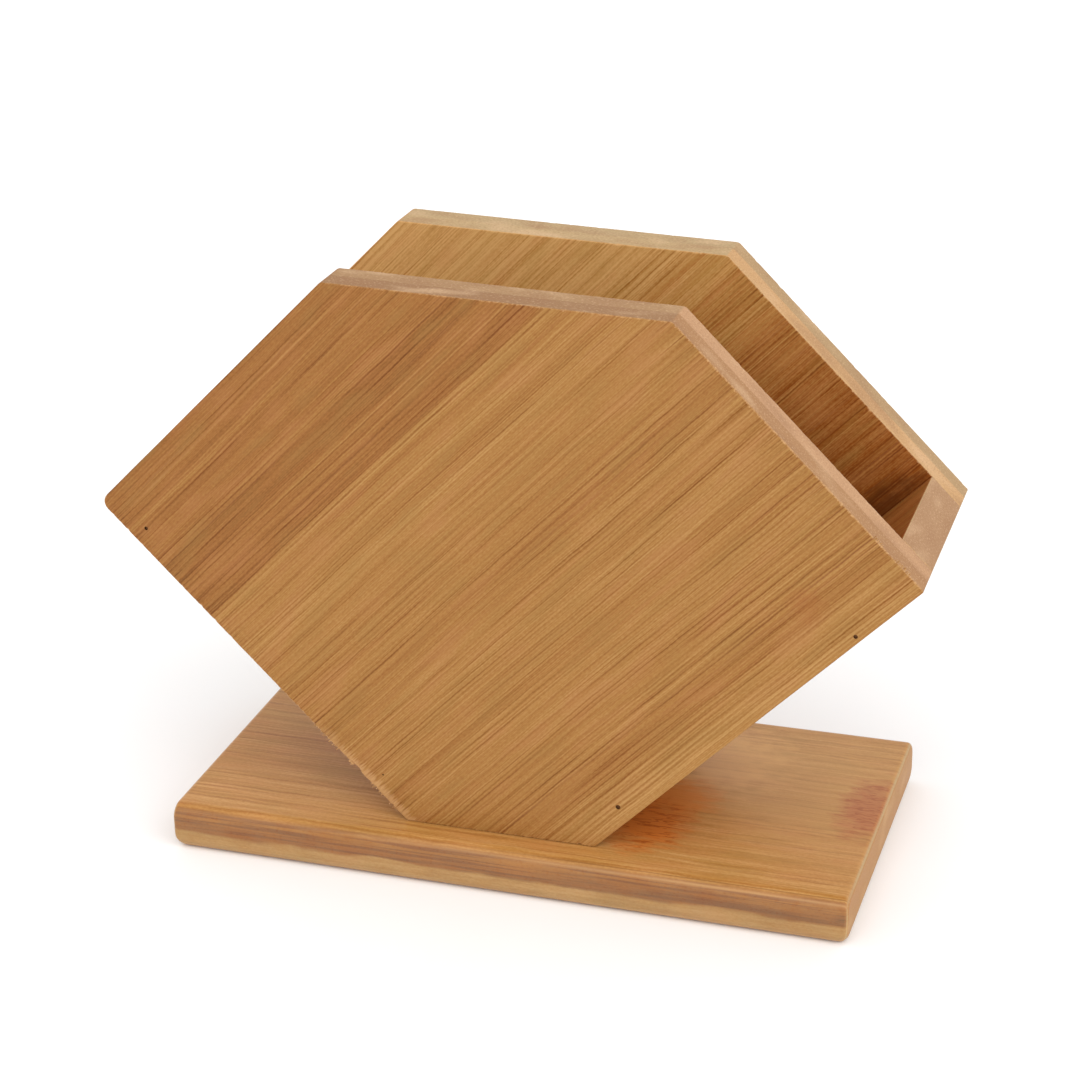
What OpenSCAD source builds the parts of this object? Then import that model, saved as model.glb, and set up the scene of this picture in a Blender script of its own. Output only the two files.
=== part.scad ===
// Bamboo napkin holder: two six-sided panels stand on a base plate, with a strip between them
// along each lower slanting edge. Napkins stand in the wedge-shaped pocket, which is open above.
// X runs along the panels, the front faces -Y and Z is up. The origin lies on the table, midway
// between the panels' side corners and midway between the base plate's long edges.

/* [Panels] */
// Width of a panel, from side corner to side corner
panel_w = 180; // [150:1:210]
// Height of a panel, from the base plate to the middle of the top edge
panel_h = 121.4; // [104:0.2:134]
// Thickness of the panel boards
panel_t = 10.4; // [8:0.2:14]
// Length of the bottom edge, which stands on the base plate
foot_w = 43; // [36:0.5:60]
// Slope of the four slanting edges, from the level
edge_slope = 45; // [40:1:50]
// How much higher the top edge lies at its left end than at its right end
top_lean = 2.2; // [0:0.2:4]

/* [Pocket] */
// Clear depth of the pocket, from panel to panel
pocket_d = 35.4; // [28:0.2:60]
// Thickness of the side strips
side_strip_t = 9.2; // [8:0.2:12]
// Thickness of the floor strip
floor_strip_t = 9.2; // [8.6:0.2:14]

/* [Base plate] */
// Length of the base plate
base_l = 153; // [120:1:200]
// Thickness of the base plate
base_t = 10.8; // [9:0.2:16]
// Width of the base plate in front of the front panel
base_front = 8; // [4:0.2:20]
// Width of the base plate behind the back panel
base_back = 12.8; // [4:0.2:20]
// How far the base plate's middle lies to the right of the panels' middle
base_shift = 2; // [0:0.5:6]
// Radius of the base plate's rounded long edges
base_edge_r = 3; // [1:0.25:4.25]
// Radius of the rounded lower edges at the base plate's two ends
base_end_r = 3; // [1:0.25:6]

/* [Brads] */
// Diameter of a brad's shank
brad_d = 1.2; // [0.8:0.1:1.6]
// Diameter of a brad's head
brad_head_d = 1.6; // [1.5:0.1:2.2]
// Height of a brad's head
brad_head_h = 0.8; // [0.5:0.1:1.4]
// Depth of a brad's head below the panel's face
brad_set = 0.3; // [0.1:0.1:1]
// Depth to which a brad goes into a side strip
brad_bite = 9.4; // [6:0.2:12]
// Length of a brad's point
brad_point = 1.6; // [1:0.1:2.4]
// Distance along a slanting edge from its end to the nearest brad
brad_end_gap = 11.2; // [6:0.2:24]
// Distance from a slanting edge to a brad's middle
brad_inset = 3.8; // [2:0.2:5.2]
// How much further down the edge the front panel's upper right brad was driven
stray_drop = 6.4; // [0:0.2:12]
// Distance from the slanting edge to the middle of that brad
stray_inset = 1.4; // [1.2:0.1:5]

/* [Screws] */
// Outer diameter of a base screw's thread
screw_d = 3; // [2.6:0.1:3.6]
// Depth of the thread
screw_thread = 0.4; // [0.2:0.05:0.5]
// Distance from one turn of the thread to the next
screw_pitch = 1.3; // [1:0.1:1.8]
// Diameter of the countersunk head
screw_head_d = 6; // [5:0.2:7]
// Height of the rim above the head's cone
screw_rim = 0.3; // [0.2:0.1:0.6]
// Depth of the head below the base plate's underside
screw_set = 0.5; // [0.2:0.1:1]
// Depth to which a screw goes into the floor strip
screw_bite = 7.4; // [5:0.2:8]
// Length of a screw's point
screw_point = 2.4; // [1.5:0.1:3]
// Distance from a panel's inner face to the nearest screw's middle
screw_gap = 8; // [5:0.5:11]
// Width of the cross slots in the head
slot_w = 1; // [0.6:0.1:1.3]
// Length of the cross slots
slot_l = 3.4; // [2:0.1:4]
// Depth of the cross slots
slot_depth = 1.2; // [0.6:0.1:1.4]

/* [Hidden] */
// Gap all round a brad or a screw in its hole
hole_gap = 0.05;
// Room that is left past the tip of a brad or a screw
tip_room = 0.4;
// Diameter at the very tip of a brad or a screw
tip_d = 0.2;
// Extra length of a cut, so that it runs clear of a face
over = 1;
$fn = 48;

// Heights and half widths of the panels' outline, seen from the front, above the base plate
foot_half = foot_w / 2;
side_half = panel_w / 2;
side_z = (side_half - foot_half) * tan(edge_slope);
left_top_z = panel_h + top_lean / 2;
right_top_z = panel_h - top_lean / 2;
left_top_half = side_half - (left_top_z - side_z) / tan(edge_slope);
right_top_half = side_half - (right_top_z - side_z) / tan(edge_slope);
slant_l = (side_half - foot_half) / cos(edge_slope);

// Places across the depth
base_w = base_front + 2 * panel_t + pocket_d + base_back;
front_face_y = base_front - base_w / 2;
pocket_front_y = front_face_y + panel_t;
pocket_back_y = pocket_front_y + pocket_d;
back_face_y = pocket_back_y + panel_t;

// Cut ends of the side strips: level on the base plate, flush with the panels' upper edges above
strip_foot = side_strip_t / sin(edge_slope);
strip_top = side_strip_t / sin(2 * edge_slope);
floor_half = foot_half - strip_foot;
floor_top_half = floor_half + floor_strip_t / tan(edge_slope);

brad_l = panel_t - brad_set + brad_bite;
screw_l = base_t - screw_set + screw_bite;
screw_core_d = screw_d - 2 * screw_thread;
screw_cone_h = (screw_head_d - screw_d) / 2;
screw_places = [pocket_front_y + screw_gap, pocket_back_y - screw_gap];

// Brads of a panel: side (-1 left, 1 right), distance up the slanting edge, distance from it
high_brad = slant_l - brad_end_gap;
back_brad_places = [
    [-1, brad_end_gap, brad_inset],
    [-1, high_brad, brad_inset],
    [1, brad_end_gap, brad_inset],
    [1, high_brad, brad_inset]
];
front_brad_places = [
    [-1, brad_end_gap, brad_inset],
    [-1, high_brad, brad_inset],
    [1, brad_end_gap, brad_inset],
    [1, high_brad - stray_drop, stray_inset]
];

// Draws a front view's outline as a board from y0 to y1, standing on the base plate
module standing(y0, y1) {
    translate([0, y1, base_t])
        rotate([90, 0, 0])
            linear_extrude(height = y1 - y0)
                children();
}

module panel_outline() {
    polygon([
        [-foot_half, 0],
        [foot_half, 0],
        [side_half, side_z],
        [right_top_half, right_top_z],
        [-left_top_half, left_top_z],
        [-side_half, side_z]
    ]);
}

module strip_outline() {
    polygon([
        [floor_half, 0],
        [foot_half, 0],
        [side_half, side_z],
        [side_half - strip_top * cos(edge_slope), side_z + strip_top * sin(edge_slope)]
    ]);
}

module floor_outline() {
    polygon([
        [-floor_half, 0],
        [floor_half, 0],
        [floor_top_half, floor_strip_t],
        [-floor_top_half, floor_strip_t]
    ]);
}

// Seen from the end: long edges are rounded, above and below
module base_profile() {
    union() {
        square([base_w - 2 * base_edge_r, base_t], center = true);
        square([base_w, base_t - 2 * base_edge_r], center = true);
        for (edge_y = [-1, 1], edge_z = [-1, 1])
            translate([edge_y * (base_w / 2 - base_edge_r), edge_z * (base_t / 2 - base_edge_r)])
                circle(r = base_edge_r);
    }
}

// Seen from the front: both lower corners are rounded; it runs on above the plate's top
module base_outline() {
    union() {
        translate([-base_l / 2, base_end_r])
            square([base_l, base_t - base_end_r + over]);
        translate([base_end_r - base_l / 2, 0])
            square([base_l - 2 * base_end_r, base_t]);
        for (side = [-1, 1])
            translate([side * (base_l / 2 - base_end_r), base_end_r])
                circle(r = base_end_r);
    }
}

// A brad with its head at the origin's level and its point at +Z; a hole for it is wider by gap
module brad(gap = 0) {
    shank_l = brad_l - brad_point + (gap > 0 ? tip_room : 0);
    cylinder(d = brad_head_d + 2 * gap, h = brad_head_h + gap);
    cylinder(d = brad_d + 2 * gap, h = shank_l);
    translate([0, 0, shank_l])
        cylinder(d1 = brad_d + 2 * gap, d2 = tip_d, h = brad_point);
}

module brad_hole() {
    brad(hole_gap);
    translate([0, 0, -brad_set - over])
        cylinder(d = brad_head_d + 2 * hole_gap, h = brad_set + over + brad_head_h);
}

// Puts its children at a panel's brads; inward is 1 from the front face and -1 from the back face
module at_brads(places, face_y, inward) {
    for (place = places) {
        up = place[1];
        inset = place[2];
        along = foot_half + up * cos(edge_slope) - inset * sin(edge_slope);
        high = up * sin(edge_slope) + inset * cos(edge_slope);
        translate([place[0] * along, face_y + inward * brad_set, base_t + high])
            rotate([-inward * 90, 0, 0])
                children();
    }
}

module all_brad_holes() {
    at_brads(front_brad_places, front_face_y, 1) brad_hole();
    at_brads(back_brad_places, back_face_y, -1) brad_hole();
}

// A countersunk screw, head down; the thread is drawn as a row of ridges on the core
module screw() {
    difference() {
        rotate_extrude()
            polygon(concat(
                [[0, 0], [screw_head_d / 2, 0], [screw_head_d / 2, screw_rim]],
                [[screw_d / 2, screw_rim + screw_cone_h]],
                thread_points(),
                [[screw_core_d / 2, screw_l - screw_point], [tip_d / 2, screw_l], [0, screw_l]]
            ));
        for (turn = [0, 90])
            rotate([0, 0, turn])
                translate([-slot_l / 2, -slot_w / 2, -over])
                    cube([slot_l, slot_w, slot_depth + over]);
    }
}

// Points of the ridges, from the shank under the head up to the point
function thread_points() =
    let (
        low = screw_rim + screw_cone_h + screw_pitch,
        turns = floor((screw_l - screw_point - low) / screw_pitch)
    )
    [for (turn = [0:turns - 1], corner = [0, 1, 2])
        [
            corner == 1 ? screw_d / 2 : screw_core_d / 2,
            low + (turn + corner / 3) * screw_pitch
        ]
    ];

module screw_hole() {
    cylinder(d = screw_d + 2 * hole_gap, h = screw_l + tip_room);
    translate([0, 0, screw_rim])
        cylinder(
            d1 = screw_head_d + 2 * hole_gap,
            d2 = screw_d + 2 * hole_gap,
            h = screw_cone_h
        );
    translate([0, 0, -screw_set - over])
        cylinder(d = screw_head_d + 2 * hole_gap, h = screw_set + over + screw_rim);
}

module at_screws() {
    for (place_y = screw_places)
        translate([0, place_y, screw_set])
            children();
}

module base_plate() {
    color([0.73, 0.56, 0.37])
        difference() {
            intersection() {
                translate([base_shift - base_l / 2 - over, 0, base_t / 2])
                    rotate([90, 0, 90])
                        linear_extrude(height = base_l + 2 * over)
                            base_profile();
                translate([base_shift, base_w / 2 + over, 0])
                    rotate([90, 0, 0])
                        linear_extrude(height = base_w + 2 * over)
                            base_outline();
            }
            at_screws() screw_hole();
        }
}

module floor_strip() {
    color([0.68, 0.5, 0.31])
        difference() {
            standing(pocket_front_y, pocket_back_y) floor_outline();
            at_screws() screw_hole();
        }
}

module right_strip() {
    color([0.7, 0.52, 0.33])
        difference() {
            standing(pocket_front_y, pocket_back_y) strip_outline();
            all_brad_holes();
        }
}

module left_strip() {
    color([0.7, 0.52, 0.33])
        difference() {
            standing(pocket_front_y, pocket_back_y) mirror([1, 0]) strip_outline();
            all_brad_holes();
        }
}

module front_panel() {
    color([0.75, 0.53, 0.31])
        difference() {
            standing(front_face_y, pocket_front_y) panel_outline();
            at_brads(front_brad_places, front_face_y, 1) brad_hole();
        }
}

module back_panel() {
    color([0.75, 0.53, 0.31])
        difference() {
            standing(pocket_back_y, back_face_y) panel_outline();
            at_brads(back_brad_places, back_face_y, -1) brad_hole();
        }
}

module front_brads() {
    color([0.35, 0.33, 0.3])
        at_brads(front_brad_places, front_face_y, 1) brad();
}

module back_brads() {
    color([0.35, 0.33, 0.3])
        at_brads(back_brad_places, back_face_y, -1) brad();
}

module base_screws() {
    color([0.72, 0.7, 0.62])
        at_screws() screw();
}

base_plate();
floor_strip();
left_strip();
right_strip();
front_panel();
back_panel();
front_brads();
back_brads();
base_screws();
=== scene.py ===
import math
import random
from functools import partial
from types import SimpleNamespace

import bpy
from mathutils import Matrix, Vector, noise


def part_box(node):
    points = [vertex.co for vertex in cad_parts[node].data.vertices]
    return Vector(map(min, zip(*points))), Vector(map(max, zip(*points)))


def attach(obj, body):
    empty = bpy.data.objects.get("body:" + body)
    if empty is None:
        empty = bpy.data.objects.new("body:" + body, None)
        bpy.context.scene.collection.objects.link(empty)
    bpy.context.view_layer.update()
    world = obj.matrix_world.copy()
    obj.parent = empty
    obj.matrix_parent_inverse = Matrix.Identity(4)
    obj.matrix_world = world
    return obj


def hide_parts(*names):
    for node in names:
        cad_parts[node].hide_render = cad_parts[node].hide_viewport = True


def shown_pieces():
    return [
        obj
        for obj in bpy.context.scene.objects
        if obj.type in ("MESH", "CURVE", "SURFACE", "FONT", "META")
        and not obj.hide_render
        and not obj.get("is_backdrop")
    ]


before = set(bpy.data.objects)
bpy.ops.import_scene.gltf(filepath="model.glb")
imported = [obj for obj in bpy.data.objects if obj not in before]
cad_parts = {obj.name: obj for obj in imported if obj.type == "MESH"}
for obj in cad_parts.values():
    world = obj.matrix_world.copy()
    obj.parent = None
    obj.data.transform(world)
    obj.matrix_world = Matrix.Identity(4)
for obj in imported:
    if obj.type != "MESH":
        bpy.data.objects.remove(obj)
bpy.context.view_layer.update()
mm = 0.001


def newObject(name, data):
    made = bpy.data.objects.new(name, data)
    bpy.context.scene.collection.objects.link(made)
    return made


def newMesh(name, vertices, edges=(), faces=()):
    mesh = bpy.data.meshes.new(name)
    mesh.from_pydata(vertices, edges, faces)
    return mesh


print("camera")
cameraView = {
    "place": (0.163284, -0.508769, 0.295567),  # metres from the middle of the plate's underside
    "azimuth": 17.748,  # degrees round to the right of the front
    "elevation": 23.088,  # degrees above the table
    "roll": -0.907,
    "lens": 88.234,
    "sensor": 36.0,
}


def makeCamera(view):
    data = bpy.data.cameras.new("camera")
    data.lens = view["lens"]
    data.sensor_width = view["sensor"]
    data.clip_start = 0.01
    data.clip_end = 50
    camera = newObject("camera", data)
    turned = Matrix.Translation(view["place"])
    for angle, axis in ((view["azimuth"], "Z"), (90 - view["elevation"], "X"), (view["roll"], "Z")):
        turned = turned @ Matrix.Rotation(math.radians(angle), 4, axis)
    camera.matrix_world = turned
    bpy.context.scene.camera = camera


makeCamera(cameraView)


# Adds a node with its settings; a link may come from a socket or from a node's first live output
def addNode(tree, kind, links=None, **settings):
    node = tree.nodes.new(kind)
    for key, value in settings.items():
        setattr(node, key, value)
    for socket, source in (links or {}).items():
        if isinstance(source, bpy.types.Node):
            source = next(output for output in source.outputs if output.enabled)
        if isinstance(source, bpy.types.NodeSocket):
            tree.links.new(source, node.inputs[socket])
        else:
            node.inputs[socket].default_value = source
    return node


def fromHex(code):  # an sRGB hex colour as linear RGBA
    channels = [int(code[i:i + 2], 16) / 255 for i in (0, 2, 4)]
    linear = [c / 12.92 if c <= 0.04045 else ((c + 0.055) / 1.055) ** 2.4 for c in channels]
    return (*linear, 1.0)


def newMaterial(name):
    material = bpy.data.materials.new(name)
    material.use_nodes = True
    tree = material.node_tree
    return material, tree, tree.nodes["Principled BSDF"]


print("room")
room = {
    "floorSize": 40.0,  # metres
    "floorColour": "fafafa",
    "worldStrength": 0.93,
    # azimuth and elevation it comes from, in degrees, its width in degrees, and its strength
    "key": {"azimuth": 5, "elevation": 45, "width": 50, "strength": 1.0},
    "fill": {"azimuth": 60, "elevation": 35, "width": 40, "strength": 0.7},
}


def makeLight(name, values):  # a wide soft light from far away
    data = bpy.data.lights.new(name, "SUN")
    data.angle = math.radians(values["width"])
    data.energy = values["strength"]
    tilt = math.radians(90 - values["elevation"])
    newObject(name, data).rotation_euler = (tilt, 0, math.radians(values["azimuth"]))


def makeRoom(values):
    scene = bpy.context.scene
    scene.view_settings.view_transform = "Standard"
    world = bpy.data.worlds.new("studio")
    scene.world = world
    world.use_nodes = True
    background = world.node_tree.nodes["Background"]
    background.inputs["Color"].default_value = (1, 1, 1, 1)
    background.inputs["Strength"].default_value = values["worldStrength"]
    makeLight("key_light", values["key"])
    makeLight("fill_light", values["fill"])

    half = values["floorSize"] / 2
    corners = [(-half, -half, 0), (half, -half, 0), (half, half, 0), (-half, half, 0)]
    mesh = newMesh("floor", corners, faces=[(0, 1, 2, 3)])
    material, _, shader = newMaterial("matt_white_card")
    shader.inputs["Base Color"].default_value = fromHex(values["floorColour"])
    shader.inputs["Roughness"].default_value = 0.9
    mesh.materials.append(material)
    newObject("floor", mesh)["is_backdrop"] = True


makeRoom(room)

# Bamboo, steamed to a caramel tone, its strips glued side by side, then sanded and sealed with a
# thin satin oil: straight fibres, fine dark lines of fibre bundles in loose groups, strips that
# differ a little in tone, reddish streaks at the nodes, and paler, pinkish, smooth cut ends.
print("materials")
tornColour = "c49868"  # torn fibres along the edges and at the lower cut ends
# Sizes in mm. zone: where the lines are, across the strips; near: up to how far from the cut ends;
# None sets no limit
anyLines = {"zone": (None, None), "near": None, "blend": "MULTIPLY"}
panelWood = {
    "turn": (0, 45, 0),  # degrees; the fibres rise to the right at 45 degrees
    "origin": (-7.64, 0, -7.64),  # mm; puts zero at the middle of the panel's foot
    "axes": ("Z", "Y"),  # across the strips, through the board
    "seed": 3.0,
    "drift": [(90.0, 30.0, 1.6), (9.0, 5.0, 0.35)],  # mm along, mm across, mm that the grain wanders
    "stripWidth": 6.0,  # mm
    "stripTone": 0.12,
    "tone": 0.58,
    "tones": [(0.0, "7f5021"), (0.33, "94612f"), (0.58, "9f713a"), (1.0, "b38851")],
    "fibre": (55.0, 0.27, 0.85),  # mm along, mm across, weight
    "flow": [(150.0, 1.9, 0.5), (14.0, 4.0, 0.25), (0.8, 0.35, 0.5)],
    "lines": [
        dict(anyLines, gap=1.3, half=0.1, soft=0.2, depth=0.95, group=5.0, colour="c2a05a"),
        dict(anyLines, gap=0.75, half=0.06, soft=0.18, depth=0.9, group=3.0, colour="ccaa6a"),
        dict(anyLines, gap=1.0, half=0.1, soft=0.2, depth=0.9, group=7.0, colour="c8a664", zone=(None, 50)),
        dict(anyLines, gap=1.3, half=0.12, soft=0.3, depth=1.0, group=4.0, colour="503824", blend="SCREEN"),
        dict(anyLines, gap=0.8, half=0.08, soft=0.16, depth=0.7, group=2.5, colour="ac8640", near=1.0),
    ],
    "ends": (48.4, 63.6),  # mm along the fibres; middle and half length between the cut ends
    "ruddy": "a46c41",
    "olive": "9a753e",
    "cuts": ("a47951", "b88d67"),  # cut ends of the two plies, front first
    "slants": ("96704c", "a5815a"),  # the same, where the edge is cut at a slant to the fibres
    "cutSplit": -25.3,  # mm; where the plies meet, through the board
    "cutPore": "946a48",
    "cutPale": "d8b48e",
    # mm from, mm to, mm over which it comes in, change of tone
    "steps": [(78.2, None, 0.4, -0.27), (None, -5.0, 0.4, 0.12)],
    # nodes; on the back board and the base also clouds of painted shade and painted light: their middles
    # and half sizes in mm, how strong they are, and how strong their dark streaks
    "marks": [
        dict(at=(91.4, -2.6, 0), half=(4, 5, 90), weight=0.25, colour="98582c", lines=0.5, dark="743f1e"),
    ],
    # torn lower ends: where the cut is, how far it shows, mm over which it fades, mm across
    "fringe": {"at": -15.2, "reach": 0.9, "fade": 1.3, "zone": (None, 34), "weight": 0.5},
    "edgeBand": None,
    "roughness": 0.46,
    "gloss": 0.2,
}
backWood = dict(
    panelWood,
    seed=11.0,
    stripTone=0.2,
    tones=[(0.0, "8e4c14"), (0.33, "aa6f37"), (0.58, "b48245"), (1.0, "ca9c60")],
    ruddy="ba7b46",
    olive="ae8746",
    cuts=("be9465", "a98a62"),
    slants=("b2966c", "ae946c"),
    cutSplit=20.5,
    # darker towards the lower right, into the pocket by the side strip: painted shade; lighter towards the
    # upper left: painted light. The side and floor strips take these steps too
    steps=[(None, 15.0, 40.0, -0.4), (None, -25.0, 40.0, -0.3), (50.0, None, 30.0, 0.3)],
    # a dark cloud in the pocket's corner by the side strip: painted shade
    marks=[dict(at=(97, -6, 0), half=(17, 6, 90), weight=0.75, colour="5c2c08")],
    fringe=None,
)
rightStripWood = dict(
    backWood,
    marks=[],
    axes=("Y", "Z"),
    seed=23.0,
    stripWidth=9.0,
    cuts=("a57e5a", "a57e5a"),
)
leftStripWood = dict(rightStripWood, seed=31.0, turn=(0, 135, 0))
floorStripWood = dict(rightStripWood, seed=41.0, turn=(0, 0, 0), origin=(0, 0, 0))
baseWood = dict(
    floorStripWood,
    seed=5.0,
    stripWidth=20.0,
    stripTone=0.1,
    drift=[(90.0, 30.0, 1.6), (8.0, 4.0, 0.9)],
    tones=[(0.0, "9c6424"), (0.33, "ae793c"), (0.58, "ba874a"), (1.0, "cfa268")],
    fibre=(18.0, 0.6, 0.75),
    flow=[(60.0, 1.9, 0.5), (14.0, 4.0, 0.25), (0.8, 0.35, 0.45)],
    lines=[
        dict(anyLines, gap=3.2, half=0.2, soft=0.5, depth=0.65, group=6.0, colour="c4a886"),
        dict(anyLines, gap=1.4, half=0.15, soft=0.3, depth=0.65, group=4.0, colour="c8ac8a"),
    ],
    cuts=("a97636", "a97636"),
    cutPore="a87040",
    cutPale="c29660",
    tone=0.55,
    steps=[],
    marks=[
        # (60, 8): partly the top's own paler tone, partly painted light; (38, 17): painted light where the
        # panels shade the top
        dict(at=(60, 8, 9), half=(28, 32, 9), weight=0.42, colour="ca9b59"),
        dict(at=(38, 17, 9), half=(18, 18, 9), weight=0.47, colour="e4af6c"),
        # the node's orange cloud by the panel's foot, made lighter and more orange as painted light and
        # painted reflection of the panel in its shade
        dict(at=(32.5, -4, 9), half=(11, 9, 9), weight=0.7, colour="d07c30", lines=0.2, dark="ac5e20"),
        dict(at=(30, -17.5, 9), half=(9.5, 13, 9), weight=0.85, colour="c66e28", lines=0.9, dark="944612"),
        dict(at=(75, 2, 9), half=(7, 15, 9), weight=0.75, colour="b0683a", lines=0.8, dark="94491c"),
        dict(at=(77, -38.5, 6.4), half=(1.8, 3, 1.4), weight=0.6, colour="945426", lines=1, dark="64300e"),
    ],
    # Levels and distances from the edge in mm; lower, upper, dark, streak and groove tints multiply; the
    # groove tint is partly painted shadow, the glint tint a painted highlight
    edgeBand={
        "half": 38.5, "split": 5.0, "groove": 1.35, "glint": 0.45,
        "lower": "e3e9f2", "upper": "c8a468", "dark": "e4c480", "limit": "80501a",
        "streak": "c08c50", "grooveLineAndShadeTint": "98806a", "glintTint": "bc8c56", "arris": "b88850",
    },
    roughness=0.3,
    gloss=0.28,
)


# Noise drawn out along the fibres; the shift sets one noise apart from another
def grainNoise(add, seed, vector, lengthMm, widthMm, shift, detail=1.0, deepMm=None):
    stretched = add("ShaderNodeMapping", {
        "Vector": vector,
        "Location": (0, seed * 7.3 + shift, 0),
        "Scale": (1 / lengthMm, 1 / widthMm, 1 / (deepMm or widthMm)),
    })
    return add("ShaderNodeTexNoise", {"Vector": stretched, "Scale": 1.0, "Detail": detail})


# The amount from low to high, which comes in and fades over soft; None leaves a side open
def window(add, value, low, high, soft, amount=1.0):
    if low is not None:
        amount = add("ShaderNodeMapRange", {
            "Value": value, "From Min": low, "From Max": low + soft, "To Max": amount,
        })
    if high is not None:
        amount = add("ShaderNodeMapRange", {
            "Value": value,
            "From Min": high,
            "From Max": high + soft,
            "To Min": amount,
            "To Max": 0.0,
        })
    return amount


# Lays stains over a colour in turn: the window in which each shows, its colour, and how it mixes
def stained(add, colour, stains):
    for where, tint, blend in stains:
        colour = add("ShaderNodeMix", {
            0: window(add, *where), 6: colour, 7: fromHex(tint) if isinstance(tint, str) else tint,
        }, data_type="RGBA", blend_type=blend)
    return colour


# Cells side by side across the strips, each with a colour and a stretch of the grain of its own
def cellsAcross(add, at, widthMm, shift, uneven, reach):
    level = add("ShaderNodeMath", {0: at.across, 1: 1 / widthMm, 2: shift}, operation="MULTIPLY_ADD")
    cell = add("ShaderNodeTexVoronoi", {
        "W": level, "Scale": 1.0, "Randomness": uneven,
    }, voronoi_dimensions="1D")
    own = cell.outputs["Color"]
    slid = add("ShaderNodeVectorMath", {0: own, 1: reach, 2: at.swayed}, operation="MULTIPLY_ADD")
    return cell, own, slid


def woodPlaces(add, grain, wood):  # in mm: X along the fibres, Y across the strips, Z through the board
    turn = [math.radians(angle) for angle in wood["turn"]]
    coordinates = add("ShaderNodeTexCoord").outputs
    placed = add("ShaderNodeMapping", {
        "Vector": coordinates["Object"],
        "Location": wood["origin"],
        "Rotation": turn,
        "Scale": (1 / mm, 1 / mm, 1 / mm),
    })
    facing = add("ShaderNodeMapping", {
        "Vector": coordinates["Normal"], "Rotation": turn,
    }, vector_type="VECTOR")
    place = add("ShaderNodeSeparateXYZ", {0: placed}).outputs
    face = add("ShaderNodeSeparateXYZ", {0: facing}).outputs
    acrossAxis, depthAxis = wood["axes"]
    at = SimpleNamespace(along=place["X"], aside=place[acrossAxis], depth=place[depthAxis])
    at.spot = add("ShaderNodeCombineXYZ", {0: at.along, 1: at.aside, 2: at.depth})
    at.endFacing = add("ShaderNodeMath", {0: face["X"]}, operation="ABSOLUTE")
    at.edgeFacing = add("ShaderNodeMath", {0: face[acrossAxis]}, operation="ABSOLUTE")
    at.swayed = at.spot
    for lengthMm, widthMm, reach in wood["drift"]:
        at.swayed = add("ShaderNodeVectorMath", {
            0: grain(at.spot, lengthMm, widthMm, 5.0), 1: (0, reach, 0), 2: at.swayed,
        }, operation="MULTIPLY_ADD")
    at.across = add("ShaderNodeSeparateXYZ", {0: at.swayed}).outputs["Y"]
    return at


def gluedStrips(add, grain, at, wood):  # each strip has its own tone and its own fibres
    _, own, slid = cellsAcross(add, at, wood["stripWidth"], wood["seed"] * 3.7, 0.8, (400.0, 0, 0))
    lengthMm, widthMm, weight = wood["fibre"]
    fibre = grain(slid, lengthMm, widthMm, 0.0)
    parts = [(own, wood["stripTone"]), (fibre, weight)]
    for index, (lengthMm, widthMm, weight) in enumerate(wood["flow"]):
        parts.append((grain(at.swayed, lengthMm, widthMm, 41.0 + index * 26), weight))
    patch, grit = parts[3][0], parts[4][0]
    tone = wood["tone"] - sum(weight for _, weight in parts) / 2
    for source, weight in parts:
        tone = add("ShaderNodeMath", {0: source, 1: weight, 2: tone}, operation="MULTIPLY_ADD")
    # steps of tone across the strips; the back board's darker steps towards the lower right are painted
    # shade, its lighter step towards the upper left painted light
    for low, high, soft, change in wood["steps"]:
        tone = add("ShaderNodeMath", {0: window(add, at.across, low, high, soft, change), 1: tone})
    ramp = add("ShaderNodeValToRGB", {0: tone})
    stops = ramp.color_ramp.elements
    for index, (position, code) in enumerate(wood["tones"]):
        stop = stops[index] if index < 2 else stops.new(position)
        stop.position = position
        stop.color = fromHex(code)
    colour = stained(add, ramp, [  # large soft patches lean to red or to olive
        ((patch, 0.53, None, 0.19, 0.3), wood["ruddy"], "MIX"),
        ((patch, None, 0.28, 0.19, 0.3), wood["olive"], "MIX"),
    ])
    return colour, fibre, grit


# Fibre bundles, dark or pale: each has its own place and strength and fades in and out
def fibreBundles(add, grain, at, wood, grit, colour):
    middle, half = wood["ends"]
    fromMiddle = add("ShaderNodeMath", {0: at.along, 1: middle}, operation="SUBTRACT")
    fromMiddle = add("ShaderNodeMath", {0: fromMiddle}, operation="ABSOLUTE")
    fromEnds = add("ShaderNodeMath", {0: half, 1: fromMiddle}, operation="SUBTRACT")
    for index, line in enumerate(wood["lines"]):
        gap, soft, strength = line["gap"], line["soft"], line["depth"]
        shift = wood["seed"] * 5.1 + index * 31
        bundle, own, slid = cellsAcross(add, at, gap, shift, 1.0, (300.0, 40.0, 0))
        for source, low, high, least in (
            (add("ShaderNodeSeparateColor", {0: own}), 0.1, 0.9, 0.15),
            (grain(slid, 22.0, 2.0, 29.0 + index), 0.36, 0.6, 0.12),
            (grain(at.swayed, 120.0, line["group"], 57.0 + index), 0.38, 0.58, 0.12),
        ):
            strength = add("ShaderNodeMapRange", {
                "Value": source,
                "From Min": low,
                "From Max": high,
                "To Min": least,
                "To Max": strength,
            })
        strength = window(add, at.across, *line["zone"], 6.0, strength)
        strength = window(add, fromEnds, None, line["near"], 6.0, strength)
        ragged = add("ShaderNodeMath", {0: grit, 1: 0.5 * soft / gap, 2: bundle}, operation="MULTIPLY_ADD")
        where = (ragged, None, line["half"] / gap, soft / gap, strength)
        colour = stained(add, colour, [(where, line["colour"], line["blend"])])
    return colour
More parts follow.
